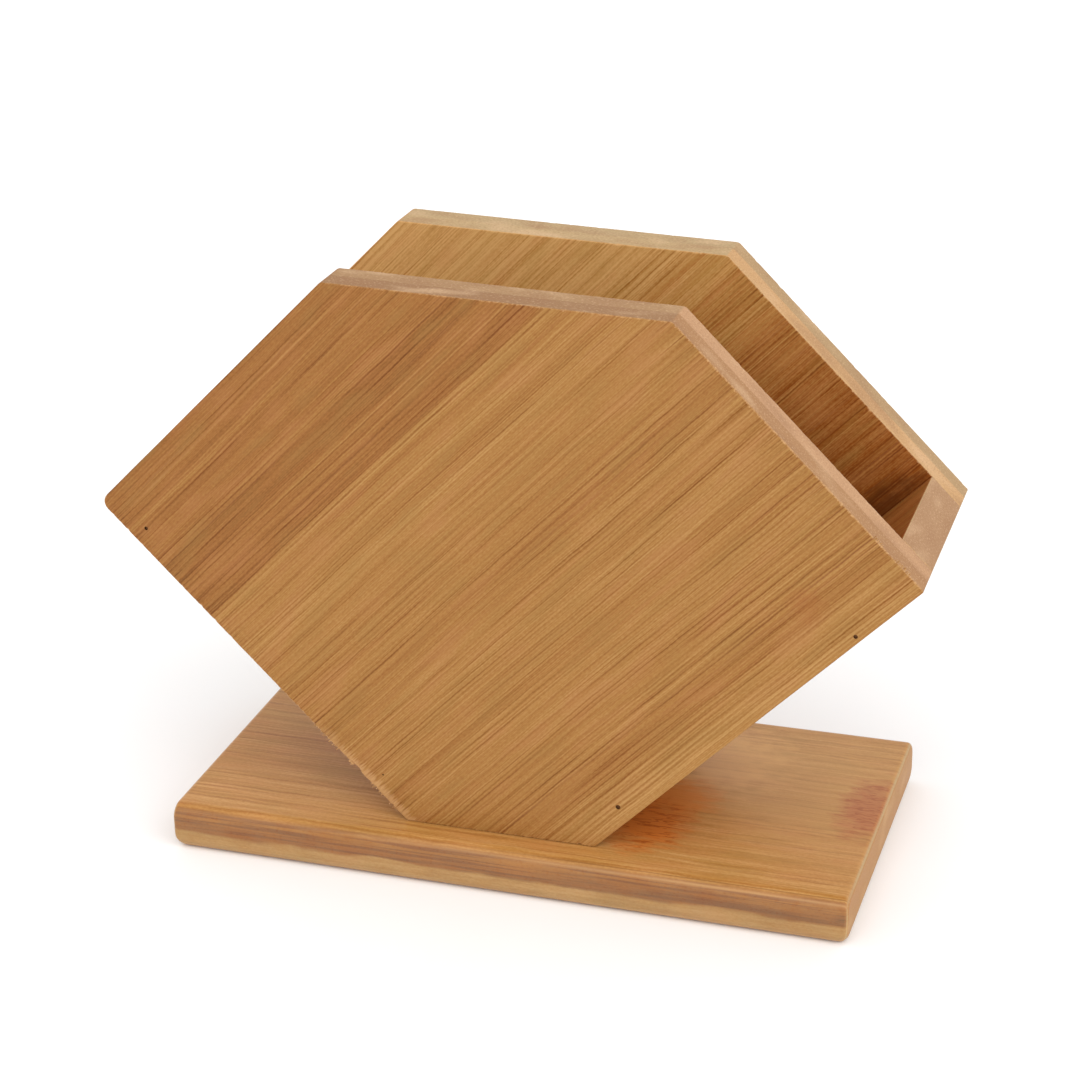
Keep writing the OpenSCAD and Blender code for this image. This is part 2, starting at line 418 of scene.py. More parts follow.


# Nodes of the cane: a reddish cloud, most with short dark wavy streaks. The same clouds also lay painted
# shade into the back board's pocket corner and painted light onto the base's top where the panels shade it
def caneNodesAndPaintedLight(add, grain, at, marks, colour):
    for index, mark in enumerate(marks):
        shrunk = add("ShaderNodeMapping", {
            "Vector": at.spot,
            "Location": [-middle / half for middle, half in zip(mark["at"], mark["half"])],
            "Scale": [1 / half for half in mark["half"]],
        })
        away = add("ShaderNodeVectorMath", {0: shrunk}, operation="LENGTH")
        wavy = grain(at.spot, 5.0, 1.6, 113.0 + index, detail=2.0)
        ragged = add("ShaderNodeMath", {0: wavy, 1: 1.2, 2: away}, operation="MULTIPLY_ADD")
        cloud = (ragged, None, 1.1, 0.65)
        colour = stained(add, colour, [((*cloud, mark["weight"]), mark["colour"], "MIX")])
        if "dark" in mark:
            streaks = grain(at.spot, 3.6, 0.75, 131.0 + index, detail=2.0)
            streaks.inputs["Distortion"].default_value = 1.2
            most = window(add, *cloud, mark["weight"] * mark["lines"])
            colour = stained(add, colour, [((streaks, 0.5, None, 0.1, most), mark["dark"], "MIX")])
    return colour


# The long edges of the plate show its two layers, the upper one darker towards its lower side; along the
# rounding run a thin dark line, partly painted shadow, and a painted highlight
def layeredEdge(add, grain, at, edge, colour):
    split, groove, glint = edge["split"], edge["groove"], edge["glint"]
    wavy = grain(at.spot, 16.0, 5.0, 191.0, detail=2.0)
    level = add("ShaderNodeMath", {0: wavy, 1: 3.4, 2: at.depth}, operation="MULTIPLY_ADD")
    streaks = grain(at.spot, 26.0, 0.55, 207.0, detail=2.0)
    upper, lower = (
        add("ShaderNodeMix", {
            0: 1.0, 6: colour, 7: fromHex(edge[key]),
        }, data_type="RGBA", blend_type="MULTIPLY")
        for key in ("upper", "lower")
    )
    upper = stained(add, upper, [
        ((level, None, split + 2.6, 3.4), edge["dark"], "MULTIPLY"),
        ((level, split + 0.8, split + 1.6, 0.5, 0.4), edge["limit"], "MIX"),
        ((streaks, 0.46, None, 0.16), edge["streak"], "MULTIPLY"),
    ])
    banded = stained(add, lower, [((level, split + 1.2, None, 0.7), upper, "MIX")])
    fromMiddle = add("ShaderNodeMath", {0: at.aside}, operation="ABSOLUTE")
    fromEdge = add("ShaderNodeMath", {0: edge["half"], 1: fromMiddle}, operation="SUBTRACT")
    clear = window(add, at.along, -50.0, None, 90.0, 0.7)
    return stained(add, colour, [
        ((at.edgeFacing, 0.5, None, 0.4), banded, "MIX"),
        # a thin dark line near the top of the rounding: partly a line in the wood, partly painted shadow of
        # a small step there
        ((fromEdge, groove, groove + 0.2, 0.25, clear), edge["grooveLineAndShadeTint"], "MULTIPLY"),
        # a lighter line on the rounding just below it: painted highlight
        ((fromEdge, glint, glint + 0.2, 0.25, clear), edge["glintTint"], "MIX"),
        ((at.endFacing, 0.15, 0.75, 0.15, 0.12), edge["arris"], "MIX"),
    ])


# Along the lower cut ends the face has lost a ragged, pale fringe of fibres
def tornFringe(add, grain, at, fringe, colour):
    wavy = grain(at.spot, 5.0, 0.4, 221.0, detail=2.0)
    beyond = add("ShaderNodeMath", {0: at.along, 1: 2.5 - fringe["at"]})
    broken = add("ShaderNodeMath", {0: wavy, 1: -5.0, 2: beyond}, operation="MULTIPLY_ADD")
    weight = window(add, at.across, *fringe["zone"], 14.0, fringe["weight"])
    where = (broken, None, fringe["reach"], fringe["fade"], weight)
    return stained(add, colour, [(where, tornColour, "MIX")])


# Cut ends: two plies of slightly different tone, soft patches, pores as faint dots
def cutEnds(add, grain, at, wood, endMask, colour):
    blotch = grain(at.spot, 9.0, 15.0, 71.0, deepMm=6.0)
    pores = grain(at.spot, 0.8, 0.45, 151.0, detail=2.0)
    layer = add("ShaderNodeMath", {0: blotch, 1: 1.6, 2: at.depth}, operation="MULTIPLY_ADD")
    backPly = (layer, wood["cutSplit"] + 0.7, None, 0.5)
    straight, slanted = (
        stained(add, fromHex(front), [(backPly, back, "MIX")])
        for front, back in (wood["cuts"], wood["slants"])
    )
    cut = stained(add, slanted, [
        ((at.endFacing, 0.78, None, 0.15), straight, "MIX"),
        ((blotch, 0.5, None, 0.25, 0.5), wood["cutPore"], "MIX"),
        ((blotch, None, 0.25, 0.21, 0.5), wood["cutPale"], "MIX"),
        ((pores, 0.53, None, 0.17, 0.45), wood["cutPore"], "MIX"),
        ((pores, None, 0.28, 0.17, 0.4), wood["cutPale"], "MIX"),
    ])
    edgeMask = window(add, at.edgeFacing, 0.5, None, 0.4, 0.3)
    cutMask = add("ShaderNodeMath", {0: edgeMask, 1: endMask}, operation="MAXIMUM")
    return add("ShaderNodeMix", {0: cutMask, 6: colour, 7: cut}, data_type="RGBA")


def makeBamboo(name, wood):
    material, tree, shader = newMaterial(name)
    add = partial(addNode, tree)
    grain = partial(grainNoise, add, wood["seed"])
    at = woodPlaces(add, grain, wood)
    colour, fibre, grit = gluedStrips(add, grain, at, wood)
    colour = fibreBundles(add, grain, at, wood, grit, colour)
    colour = caneNodesAndPaintedLight(add, grain, at, wood["marks"], colour)
    if wood["edgeBand"]:
        colour = layeredEdge(add, grain, at, wood["edgeBand"], colour)
    if wood["fringe"]:
        colour = tornFringe(add, grain, at, wood["fringe"], colour)
    endMask = window(add, at.endFacing, 0.4, None, 0.35)
    colour = cutEnds(add, grain, at, wood, endMask, colour)

    # Torn fibres leave a broken pale line along the eased edges
    arris = add("ShaderNodeAttribute", attribute_name="arris").outputs["Fac"]
    torn = add("ShaderNodeMath", {0: grain(at.spot, 0.9, 0.45, 173.0), 1: arris}, operation="MULTIPLY")
    colour = stained(add, colour, [((torn, 0.35, None, 0.25, 0.65), tornColour, "MIX")])
    tree.links.new(colour.outputs[2], shader.inputs["Base Color"])

    dull = wood["roughness"]
    for source, change in ((fibre, 0.12), (endMask, 0.1)):
        dull = add("ShaderNodeMath", {0: source, 1: change, 2: dull}, operation="MULTIPLY_ADD")
    tree.links.new(dull.outputs[0], shader.inputs["Roughness"])
    shader.inputs["IOR"].default_value = 1.5
    shader.inputs["Specular IOR Level"].default_value = wood["gloss"]
    bump = add("ShaderNodeBump", {"Strength": 0.3, "Distance": 0.05 * mm, "Height": fibre})
    tree.links.new(bump.outputs[0], shader.inputs["Normal"])
    return material


# Drawn steel wire and zinc-plated screw steel: fine scratches and a slightly uneven shine
steels = {
    "brad": {"dark": "4a2e1c", "light": "7a5236", "roughness": 0.5, "scratch": 0.12 * mm},
    "screw": {"dark": "b8b4a4", "light": "d8d2bd", "roughness": 0.32, "scratch": 0.15 * mm},
}


def makeSteel(name, steel):
    material, tree, shader = newMaterial(name)
    add = partial(addNode, tree)
    shader.inputs["Metallic"].default_value = 1.0
    fine, long = 1 / steel["scratch"], 1 / (steel["scratch"] * 5)
    placed = add("ShaderNodeMapping", {
        "Vector": add("ShaderNodeTexCoord").outputs["Object"], "Scale": (fine, fine, long),
    })
    uneven = add("ShaderNodeTexNoise", {"Vector": placed, "Scale": 1.0, "Detail": 3.0})
    tinted = add("ShaderNodeMix", {
        0: uneven, 6: fromHex(steel["dark"]), 7: fromHex(steel["light"]),
    }, data_type="RGBA")
    rough = add("ShaderNodeMapRange", {
        "Value": uneven, "To Min": steel["roughness"] - 0.1, "To Max": steel["roughness"] + 0.15,
    })
    bump = add("ShaderNodeBump", {"Strength": 0.4, "Distance": 0.02 * mm, "Height": uneven})
    tree.links.new(tinted.outputs[2], shader.inputs["Base Color"])
    tree.links.new(rough.outputs[0], shader.inputs["Roughness"])
    tree.links.new(bump.outputs[0], shader.inputs["Normal"])
    return material


frontBamboo = makeBamboo("front_caramel_bamboo_sanded", panelWood)
backBamboo = makeBamboo("back_caramel_bamboo_sanded", backWood)
baseBamboo = makeBamboo("base_caramel_bamboo_oiled", baseWood)
rightBamboo = makeBamboo("right_strip_bamboo_sanded", rightStripWood)
leftBamboo = makeBamboo("left_strip_bamboo_sanded", leftStripWood)
floorBamboo = makeBamboo("floor_strip_bamboo_sanded", floorStripWood)
bradSteel = makeSteel("drawn_steel_wire", steels["brad"])
screwSteel = makeSteel("zinc_plated_steel", steels["screw"])


def solidPoints(node):
    return [vertex.co.copy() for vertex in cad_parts[node].data.vertices]


def outlineOf(node):  # corners of a board seen from the front, anticlockwise, in metres
    points = sorted({(round(p.x, 6), round(p.z, 6)) for p in solidPoints(node)})

    def halfHull(ordered):
        hull = []
        for p in ordered:
            while len(hull) > 1:
                (ax, az), (bx, bz) = hull[-2], hull[-1]
                turn = (bx - ax) * (p[1] - bz) - (bz - az) * (p[0] - bx)
                if turn > 1e-8:
                    break
                hull.pop()
            hull.append(p)
        return hull[:-1]

    return [Vector(p) for p in halfHull(points) + halfHull(points[::-1])]


fixingGap = 7 * mm  # the brads or screws of a node stand further apart than this


def fixingPlaces(node, flat):  # middles of a node's separate fixings, in the two flat axes
    places = []
    for p in solidPoints(node):
        for group in places:
            if max(abs(p[axis] - group[0][axis]) for axis in flat) < fixingGap:
                group.append(p)
                break
        else:
            places.append([p])
    return sorted(
        tuple((min(p[axis] for p in group) + max(p[axis] for p in group)) / 2 for axis in flat)
        for group in places
    )


print("boards")
frontBoard = {
    "node": "front_panel",
    "grain": (1, 1),  # right and up
    "seed": 4,
    "cornerRadii": (2.4, 1.5, 1.5, 0.5, 1.5, 1.5),  # mm, from the left corner round by the foot
    "cornerSteps": 6,
    "spacing": 0.3,  # mm between points along an edge
    "ease": 0.22,  # mm, radius of the sanded edges
    "arcSteps": 4,
    "wobble": 0.04,  # mm that the edges bow in at most
    "wobbleWaves": 70,  # a metre
    "easeWaves": 900,  # a metre; the sanding took a little more here and there
    "chipDepth": (0.02, 0.34),  # mm
    "chipWidth": (0.5, 1.4),
    "chipGap": 1.5,  # mm from chip to chip across the fibres, on average
    "guard": 0.2,  # mm, flat rim beside the worn edges; with them it stays within the corner radii
    # worn spots: side (0 front, 1 back), edge from the lower left round, mm along, wide, deep
    "worn": [(0, 0, 80.9, 3.0, 0.7), (0, 0, 79.2, 1.6, 0.5), (0, 1, 40.1, 1.1, 0.55)],
}
backBoard = dict(frontBoard, node="back_panel", seed=9, worn=[])
rightBoard = dict(
    backBoard,
    node="right_strip",
    seed=14,
    cornerRadii=(0.5, 0.5, 0.5, 0.5),
    ease=0.2,
    chipDepth=(0.02, 0.12),
)
leftBoard = dict(rightBoard, node="left_strip", grain=(-1, 1), seed=19)
floorBoard = dict(rightBoard, node="floor_strip", grain=(1, 0), seed=24)


# Places round a board's outline, with rounded corners: each with the way out, its side and its
# share of that side, which is -1 on a rounded corner
def ringPoints(corners, normals, radii, counts, steps):
    def centreOf(i):
        before, after = normals[i - 1], normals[i]
        return corners[i] - (before + after) / (1 + before.dot(after)) * radii[i]

    points = []
    for i, normal in enumerate(normals):
        start = math.atan2(normals[i - 1].y, normals[i - 1].x)
        sweep = (math.atan2(normal.y, normal.x) - start) % (2 * math.pi)
        for step in range(steps + 1):
            angle = start + sweep * step / steps
            out = Vector((math.cos(angle), math.sin(angle)))
            points.append((centreOf(i) + out * radii[i], out, i, -1.0))
        following = (i + 1) % len(corners)
        begin = centreOf(i) + normal * radii[i]
        goal = centreOf(following) + normal * radii[following]
        for step in range(1, counts[i]):
            share = step / counts[i]
            points.append((begin.lerp(goal, share), normal, i, share))
    return points


def edgeEasing(lengths, tears, points, values, side, dice):  # how far a face's edge is worn, by point
    chips = []
    for i, (length, tear) in enumerate(zip(lengths, tears)):
        for _ in range(int(length / (values["chipGap"] * mm) * tear ** 2)):
            at = dice.random() * length
            half = dice.uniform(*values["chipWidth"]) * mm / 2
            deep = dice.uniform(*values["chipDepth"]) * mm * dice.random() ** 1.5
            chips.append((i, at, half, deep))
    for wornSide, i, at, wide, deep in values["worn"]:
        if wornSide == side:
            chips.append((i, at * mm, wide * mm / 2, deep * mm))
    easing = []
    for point, _, i, share in points:
        spot = Vector((point.x, point.y, side + values["seed"])) * values["easeWaves"]
        worn = values["ease"] * mm * (1 + 0.25 * noise.noise(spot))
        if share >= 0:
            along = share * lengths[i]
            for edge, at, half, deep in chips:
                if edge == i and abs(along - at) < half:
                    worn += deep * (1 - ((along - at) / half) ** 2)
        easing.append(worn)
    return easing


def makeBoard(name, values, material):
    corners = outlineOf(values["node"])
    low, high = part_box(values["node"])
    sides = [after - before for before, after in zip(corners, corners[1:] + corners[:1])]
    lengths = [side.length for side in sides]
    ways = [side.normalized() for side in sides]
    normals = [Vector((way.y, -way.x)) for way in ways]
    fibres = Vector(values["grain"]).normalized()
    tears = [abs(normal.dot(fibres)) for normal in normals]  # 1 straight across the fibres, 0 along
    counts = [max(3, round(length / (values["spacing"] * mm))) for length in lengths]
    radii = [radius * mm for radius in values["cornerRadii"]]
    points = ringPoints(corners, normals, radii, counts, values["cornerSteps"])
    dice = random.Random(values["seed"])
    easing = [edgeEasing(lengths, tears, points, values, side, dice) for side in (0, 1)]

    rings = []  # each ring: one (inset, depth, arris) for every point
    for side, level, inward in ((0, low.y, 1), (1, high.y, -1)):
        guards = [worn + values["guard"] * mm for worn in easing[side]]
        sideRings = [[(guard, level, 0.0) for guard in guards]]
        for step in range(values["arcSteps"] + 1):
            angle = math.pi / 2 * step / values["arcSteps"]
            over, down = 1 - math.sin(angle), inward * (1 - math.cos(angle))
            sideRings.append([(worn * over, level + worn * down, 1.0) for worn in easing[side]])
        sideRings.append([(0.0, level + inward * guard, 0.0) for guard in guards])
        rings += sideRings if side == 0 else sideRings[::-1]

    vertices, arris = [], []
    for ring in rings:
        for (point, normal, i, _), (inset, depth, edge) in zip(points, ring):
            rough = noise.noise(Vector((point.x, point.y, values["seed"])) * values["wobbleWaves"])
            flat = point - normal * (inset + (rough * 0.5 + 0.5) * values["wobble"] * mm)
            vertices.append((flat.x, depth, flat.y))
            arris.append(edge * (0.5 + 0.4 * tears[i]))
    total = len(points)
    faces = [tuple(range(total)), tuple(reversed(range(len(vertices) - total, len(vertices))))]
    for k in range(len(rings) - 1):
        for i in range(total):
            a, b = k * total + i, k * total + (i + 1) % total
            faces.append((a, a + total, b + total, b))
    mesh = newMesh(name, vertices, faces=faces)
    mesh.attributes.new("arris", "FLOAT", "POINT").data.foreach_set("value", arris)
    mesh.materials.append(material)
    return newObject(name, mesh)


def plainMesh(piece):  # what the modifiers make becomes the piece's own mesh
    graph = bpy.context.evaluated_depsgraph_get()
    mesh = bpy.data.meshes.new_from_object(piece.evaluated_get(graph))
    piece.modifiers.clear()
    piece.data = mesh


def makeCutter(profile, steps, place):  # turned from a profile: (radius, height) in mm, from below
    vertices, faces = [], []
    for radius, height in profile:
        for k in range(steps):
            angle = 2 * math.pi * k / steps
            vertices.append((radius * mm * math.cos(angle), radius * mm * math.sin(angle), height * mm))
    for ring in range(len(profile) - 1):
        for k in range(steps):
            a, b = ring * steps + k, ring * steps + (k + 1) % steps
            faces.append((a, b, b + steps, a + steps))
    faces.append(tuple(reversed(range(steps))))
    faces.append(tuple(range(len(vertices) - steps, len(vertices))))
    mesh = newMesh("cutter", vertices, faces=faces)
    mesh.transform(place)
    return newObject("cutter", mesh)


def drill(board, cutters):
    for cutter in cutters:
        bore = board.modifiers.new("bore", "BOOLEAN")
        bore.operation = "DIFFERENCE"
        bore.solver = "EXACT"
        bore.object = cutter
    plainMesh(board)


bradHoles = {
    "frontMouths": (0.42, 0.2, 0.52, 0.45),  # mm, left to right; the second has nearly closed
    "backMouths": (0.55, 0.45, 0.5, 0.3),
    "head": 0.84,  # mm, radius of the bore round the head
    "shank": 0.64,
    "set": 0.3,  # mm from the face to the head
    "headHeight": 0.85,
    "reach": 20.0,
    "steps": 24,
}
screwHoles = {"head": 3.05, "shank": 1.55, "set": 0.8, "reach": 18.2, "steps": 40}  # mm, the same way


def bradCutters(node, level, inward, mouths, holes):
    head, shank = holes["head"], holes["shank"]
    headEnd = holes["set"] + holes["headHeight"]
    cutters = []
    for (x, z), mouth in zip(fixingPlaces(node, (0, 2)), mouths):
        profile = [
            (mouth, -1.0),
            (mouth, 0.02),
            (head, holes["set"]),
            (head, headEnd),
            (shank, headEnd + 0.2),
            (shank, holes["reach"]),
        ]
        place = Matrix.Translation((x, level, z)) @ Matrix.Rotation(-inward * math.pi / 2, 4, "X")
        cutters.append(makeCutter(profile, holes["steps"], place))
    return cutters


def screwCutters(level, holes):
    head, shank, deep = holes["head"], holes["shank"], holes["set"]
    profile = [(head, -1.0), (head, deep), (shank, deep + head - shank), (shank, holes["reach"])]
    places = [Matrix.Translation((x, y, level)) for x, y in fixingPlaces("base_screws", (0, 1))]
    return [makeCutter(profile, holes["steps"], place) for place in places]


frontPanel = makeBoard("front_board", frontBoard, frontBamboo)
backPanel = makeBoard("back_board", backBoard, backBamboo)
rightStrip = makeBoard("right_side_board", rightBoard, rightBamboo)
leftStrip = makeBoard("left_side_board", leftBoard, leftBamboo)
floorStrip = makeBoard("floor_board", floorBoard, floorBamboo)
frontFace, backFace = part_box("front_panel")[0].y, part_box("back_panel")[1].y
frontCutters = bradCutters("front_brads", frontFace, 1, bradHoles["frontMouths"], bradHoles)
backCutters = bradCutters("back_brads", backFace, -1, bradHoles["backMouths"], bradHoles)
drill(frontPanel, frontCutters)
drill(backPanel, backCutters)


def newTree(name, sizes, **others):  # the sizes are plain numbers; others gives its kind with each input
    tree = bpy.data.node_groups.new(name, "GeometryNodeTree")
    tree.interface.new_socket("Geometry", in_out="INPUT", socket_type="NodeSocketGeometry")
    kinds = dict(dict.fromkeys(sizes, "Float"), Material="Material", **others)
    for label, kind in kinds.items():
        tree.interface.new_socket(label, in_out="INPUT", socket_type="NodeSocket" + kind)
    tree.interface.new_socket("Geometry", in_out="OUTPUT", socket_type="NodeSocketGeometry")
    add = partial(addNode, tree)
    return tree, add, add("NodeGroupInput").outputs


def endTree(add, given, geometry):
    real = add("GeometryNodeRealizeInstances", {"Geometry": geometry})
    painted = add("GeometryNodeSetMaterial", {"Geometry": real, "Material": given["Material"]})
    add("NodeGroupOutput", {0: painted})


def runTree(tree, name, values, points=(), edges=()):  # the tree works on these points and edges
    piece = newObject(name, newMesh(name, points, edges))
    modifier = piece.modifiers.new("shape", "NODES")
    modifier.node_group = tree
    for item in tree.interface.items_tree:
        if item.item_type == "SOCKET" and item.in_out == "INPUT" and item.name in values:
            modifier[item.identifier] = values[item.name]
    plainMesh(piece)
    return piece


print("base plate")
plate = {
    "Edge radius": 3.0 * mm,
    "Lower end radius": 2.4 * mm,
    "Upper end radius": 1.3 * mm,
    "Side end radius": 0.9 * mm,
    "Rings": 160,
    "Wobble": 0.08 * mm,
}


def plateTree():
    sizes = ("Length", "Width", "Thickness", *plate)
    tree, add, given = newTree("swept_plate", sizes, Rings="Int", Middle="Vector")
    half, halfWidth, halfThickness = (
        add("ShaderNodeMath", {0: given[key], 1: 0.5}, operation="MULTIPLY")
        for key in ("Length", "Width", "Thickness")
    )

    # The rings lie closer together towards the two ends
    path = add("GeometryNodeCurvePrimitiveLine")
    path = add("GeometryNodeResampleCurve", {"Curve": path, "Count": given["Rings"]})
    share = add("GeometryNodeSplineParameter").outputs["Factor"]
    signed = add("ShaderNodeMath", {0: share, 1: 2.0, 2: -1.0}, operation="MULTIPLY_ADD")
    away = add("ShaderNodeMath", {0: signed}, operation="ABSOLUTE")
    reach = add("ShaderNodeMath", {0: 2.0, 1: away}, operation="SUBTRACT")
    for factor in (signed, half):
        reach = add("ShaderNodeMath", {0: reach, 1: factor}, operation="MULTIPLY")
    path = add("GeometryNodeSetPosition", {
        "Geometry": path, "Position": add("ShaderNodeCombineXYZ", {0: reach}),
    })
    section = add("GeometryNodeCurvePrimitiveQuadrilateral", {
        "Width": given["Width"], "Height": given["Thickness"],
    })
    section = add("GeometryNodeFilletCurve", {
        "Curve": section, "Radius": given["Edge radius"], "Count": 12,
    }, mode="POLY")
    swept = add("GeometryNodeCurveToMesh", {"Curve": path, "Profile Curve": section, "Fill Caps": True})

    # Towards an end the section shrinks in an arc, by another radius on each side
    here = add("ShaderNodeSeparateXYZ", {0: add("GeometryNodeInputPosition")}).outputs
    fromMiddle = add("ShaderNodeMath", {0: here["X"]}, operation="ABSOLUTE")
    fromEnd = add("ShaderNodeMath", {0: half, 1: fromMiddle}, operation="SUBTRACT")

    def shrink(radius, halfSize):  # what is left of the section's half size, as a share of it
        short = add("ShaderNodeMath", {0: radius, 1: fromEnd}, operation="SUBTRACT")
        short = add("ShaderNodeMath", {0: short, 1: 0.0}, operation="MAXIMUM")
        short = add("ShaderNodeMath", {0: short, 1: short}, operation="MULTIPLY")
        arc = add("ShaderNodeMath", {0: radius, 1: radius}, operation="MULTIPLY")
        arc = add("ShaderNodeMath", {0: arc, 1: short}, operation="SUBTRACT")
        arc = add("ShaderNodeMath", {0: arc}, operation="SQRT")
        inset = add("ShaderNodeMath", {0: radius, 1: arc}, operation="SUBTRACT")
        taken = add("ShaderNodeMath", {0: inset, 1: halfSize}, operation="DIVIDE")
        return add("ShaderNodeMath", {0: 1.0, 1: taken}, operation="SUBTRACT")

    above = add("ShaderNodeMath", {0: here["Z"], 1: 0.0}, operation="GREATER_THAN")
    endRadius = add("ShaderNodeMapRange", {
        "Value": above, "To Min": given["Lower end radius"], "To Max": given["Upper end radius"],
    })
    narrowed = add("ShaderNodeVectorMath", {
        0: add("GeometryNodeInputPosition"),
        1: add("ShaderNodeCombineXYZ", {
            0: 1.0,
            1: shrink(given["Side end radius"], halfWidth),
            2: shrink(endRadius, halfThickness),
        }),
    }, operation="MULTIPLY")
    swept = add("GeometryNodeSetPosition", {"Geometry": swept, "Position": narrowed})

    # The faces bow in a little, here and there
    uneven = add("ShaderNodeTexNoise", {
        "Vector": add("GeometryNodeInputPosition"), "Scale": 45.0, "Detail": 1.0,
    })
    amount = add("ShaderNodeMath", {0: uneven, 1: given["Wobble"]}, operation="MULTIPLY")
    inward = add("ShaderNodeVectorMath", {
        0: add("GeometryNodeInputNormal"), 1: (0.0, -1.0, -1.0),
    }, operation="MULTIPLY")
    inward = add("ShaderNodeVectorMath", {0: inward, "Scale": amount}, operation="SCALE")
    moved = add("ShaderNodeVectorMath", {0: inward, 1: given["Middle"]})
    laid = add("GeometryNodeSetPosition", {"Geometry": swept, "Offset": moved})
    endTree(add, given, laid)
    return tree


plateLow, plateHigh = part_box("base_plate")
plateSize = plateHigh - plateLow
basePlate = runTree(plateTree(), "foot_board", dict(
    plate,
    Length=plateSize.x,
    Width=plateSize.y,
    Thickness=plateSize.z,
    Middle=(plateLow + plateHigh) / 2,
    Material=baseBamboo,
))
underCutters = screwCutters(plateLow.z, screwHoles)
drill(basePlate, underCutters)
drill(floorStrip, underCutters)
for strip in (leftStrip, rightStrip):
    drill(strip, frontCutters + backCutters)
for cutter in frontCutters + backCutters + underCutters:
    bpy.data.objects.remove(cutter)

print("brads and screws")
bradSizes = {
    "Length": 19.5 * mm,
    "Head radius": 0.8 * mm,
    "Head height": 0.8 * mm,
    "Neck": 0.25 * mm,
    "Shank radius": 0.6 * mm,
    "Point length": 1.6 * mm,
}
screwSizes = {
    "Length": 17.7 * mm,
    "Head radius": 3.0 * mm,
    "Head height": 0.3 * mm,
    "Neck": 1.9 * mm,
    "Shank radius": 1.1 * mm,
    "Point length": 2.4 * mm,
    "Thread radius": 1.5 * mm,
    "Pitch": 1.3 * mm,
    "Slot width": 1.0 * mm,
    "Slot length": 3.4 * mm,
    "Slot depth": 1.2 * mm,
}


def shankNodes(add, given, sides):  # head, neck, shank and point as one turned solid along Z
    line = add("GeometryNodeCurvePrimitiveLine", {
        "End": add("ShaderNodeCombineXYZ", {2: given["Length"]}),
    })
    line = add("GeometryNodeResampleCurve", {"Curve": line, "Count": 72})
    share = add("GeometryNodeSplineParameter").outputs["Factor"]
    eased = add("ShaderNodeMath", {0: share, 1: 1.8}, operation="POWER")  # closer at the head
    level = add("ShaderNodeMath", {0: eased, 1: given["Length"]}, operation="MULTIPLY")
    line = add("GeometryNodeSetPosition", {
        "Geometry": line, "Position": add("ShaderNodeCombineXYZ", {2: level}),
    })
    place = add("ShaderNodeSeparateXYZ", {0: add("GeometryNodeInputPosition")})
    height = place.outputs["Z"]
    radius = add("ShaderNodeMapRange", {
        "Value": height,
        "From Min": given["Head height"],
        "From Max": add("ShaderNodeMath", {0: given["Head height"], 1: given["Neck"]}),
        "To Min": given["Head radius"],
        "To Max": given["Shank radius"],
    })
    pointStart = add("ShaderNodeMath", {
        0: given["Length"], 1: given["Point length"],
    }, operation="SUBTRACT")
    taper = add("ShaderNodeMapRange", {
        "Value": height,
        "From Min": pointStart,
        "From Max": given["Length"],
        "To Min": 1.0,
        "To Max": 0.08,
    })
    rim = add("ShaderNodeMapRange", {
        "Value": height, "From Max": 0.12 * mm, "To Min": 0.9, "To Max": 1.0,
    }, interpolation_type="SMOOTHERSTEP")
    for factor in (taper, rim):
        radius = add("ShaderNodeMath", {0: radius, 1: factor}, operation="MULTIPLY")
    return add("GeometryNodeCurveToMesh", {
        "Curve": line,
        "Profile Curve": add("GeometryNodeCurvePrimitiveCircle", {"Resolution": sides, "Radius": 1.0}),
        "Scale": radius,
        "Fill Caps": True,
    })


def bradTree():
    tree, add, given = newTree("brads", bradSizes, Turn="Rotation")
    placed = add("GeometryNodeInstanceOnPoints", {
        "Points": given["Geometry"],
        "Instance": shankNodes(add, given, 20),
        "Rotation": given["Turn"],
    })
    endTree(add, given, placed)
    return tree


def screwTree():
    tree, add, given = newTree("screws", screwSizes)
    start = given["Pitch"]
    for key in ("Head height", "Neck"):
        start = add("ShaderNodeMath", {0: start, 1: given[key]})
    span = given["Length"]
    for taken in (given["Point length"], start):
        span = add("ShaderNodeMath", {0: span, 1: taken}, operation="SUBTRACT")
    spiral = add("GeometryNodeCurveSpiral", {
        "Resolution": 24,
        "Rotations": add("ShaderNodeMath", {0: span, 1: given["Pitch"]}, operation="DIVIDE"),
        "Start Radius": given["Shank radius"],
        "End Radius": given["Shank radius"],
        "Height": span,
    })
    ridge = add("GeometryNodeCurvePrimitiveCircle", {
        "Resolution": 4,
        "Radius": add("ShaderNodeMath", {
            0: given["Thread radius"], 1: given["Shank radius"],
        }, operation="SUBTRACT"),
    })
    thread = add("GeometryNodeCurveToMesh", {
        "Curve": spiral, "Profile Curve": ridge, "Fill Caps": True,
    })
    thread = add("GeometryNodeTransform", {
        "Geometry": thread, "Translation": add("ShaderNodeCombineXYZ", {2: start}),
    })
    cut = add("GeometryNodeMeshBoolean", operation="UNION", solver="EXACT")
    for part in (shankNodes(add, given, 40), thread):
        tree.links.new(part.outputs[0], cut.inputs["Mesh 2"])
    cut = cut.outputs["Mesh"]
    deep = add("ShaderNodeMath", {0: given["Slot depth"], 1: 2.0}, operation="MULTIPLY")
    wide, long = given["Slot width"], given["Slot length"]
    for sizeX, sizeY in ((long, wide), (wide, long)):
        slot = add("GeometryNodeMeshCube", {
            "Size": add("ShaderNodeCombineXYZ", {0: sizeX, 1: sizeY, 2: deep}),
        })
        cut = add("GeometryNodeMeshBoolean", {
            "Mesh 1": cut, "Mesh 2": slot.outputs["Mesh"],
        }, operation="DIFFERENCE", solver="EXACT").outputs["Mesh"]
    placed = add("GeometryNodeInstanceOnPoints", {"Points": given["Geometry"], "Instance": cut})
    endTree(add, given, placed)
    return tree


